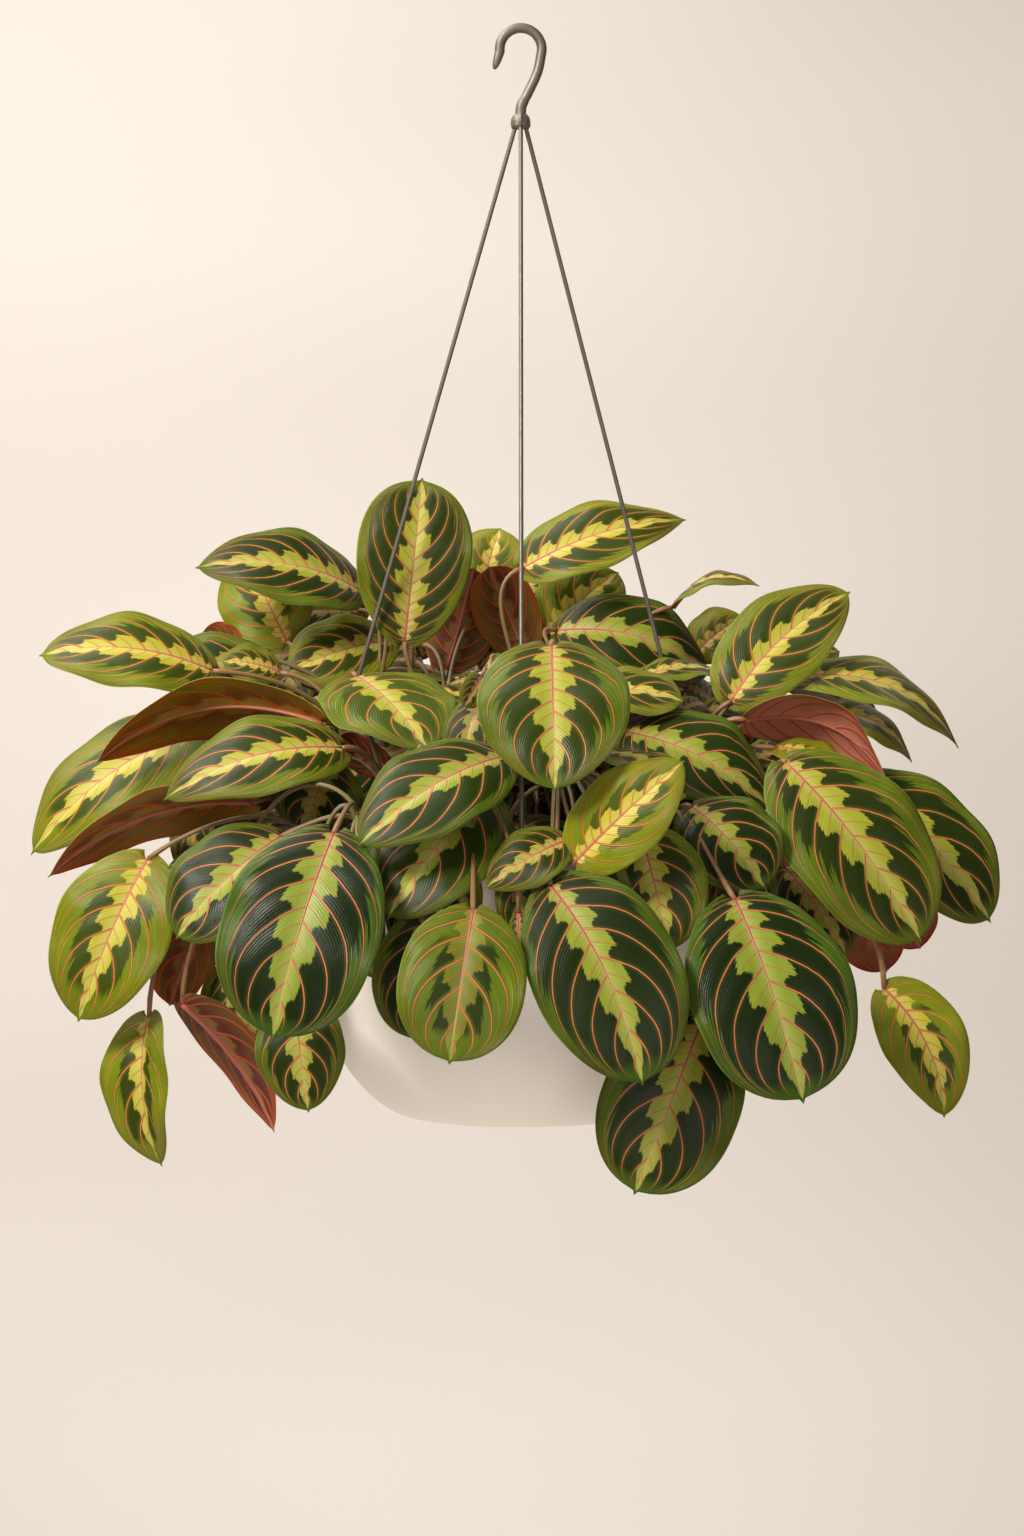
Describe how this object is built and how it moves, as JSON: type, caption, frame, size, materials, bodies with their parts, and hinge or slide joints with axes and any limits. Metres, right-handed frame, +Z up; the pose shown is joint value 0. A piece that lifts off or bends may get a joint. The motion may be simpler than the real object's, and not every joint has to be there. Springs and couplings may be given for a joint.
{
  "type": "hanging potted prayer plant",
  "caption": "Bushy prayer plant with dark, red-veined leaves in a round white bowl that hangs by straight wires from a single open hook.",
  "frame": {"origin": "inside top of the hook's bend, where it rests on what carries it", "axes": "+Z up, +X to the right and +Y to the back as in the picture, in metres"},
  "size_m": [0.5483, 0.4335, 0.6497],
  "materials": {
    "pot": "matte warm white, smooth moulded",
    "soil": "dark crumbly potting mix",
    "hanger": "satin brown-grey wire",
    "foliage": "satin leaf with a pale band, dark patches and coral veins, purple below"
  },
  "bodies": {
    "root": {"pot": "pot", "soil": "soil", "hook": "hanger", "collar": "hanger", "wire_front": "hanger", "wire_left": "hanger", "wire_right": "hanger", "stem_front_left": "foliage", "stem_front": "foliage", "stem_front_right": "foliage", "stem_right_front": "foliage", "stem_right_low": "foliage", "stem_right_mid": "foliage", "stem_right_top": "foliage", "stem_left_front": "foliage", "stem_left_low": "foliage", "stem_left_mid": "foliage", "stem_left_out": "foliage", "stem_left_top": "foliage", "stem_back_left": "foliage", "stem_top_left": "foliage", "stem_top_right": "foliage", "stem_back_right": "foliage", "stem_middle": "foliage", "stem_rear_left_low": "foliage", "stem_rear_left": "foliage", "stem_rear_mid_left": "foliage", "stem_rear_mid": "foliage", "stem_rear_right": "foliage", "stem_rear_right_low": "foliage", "stem_rear_far_right": "foliage"}
  },
  "joints": []
}
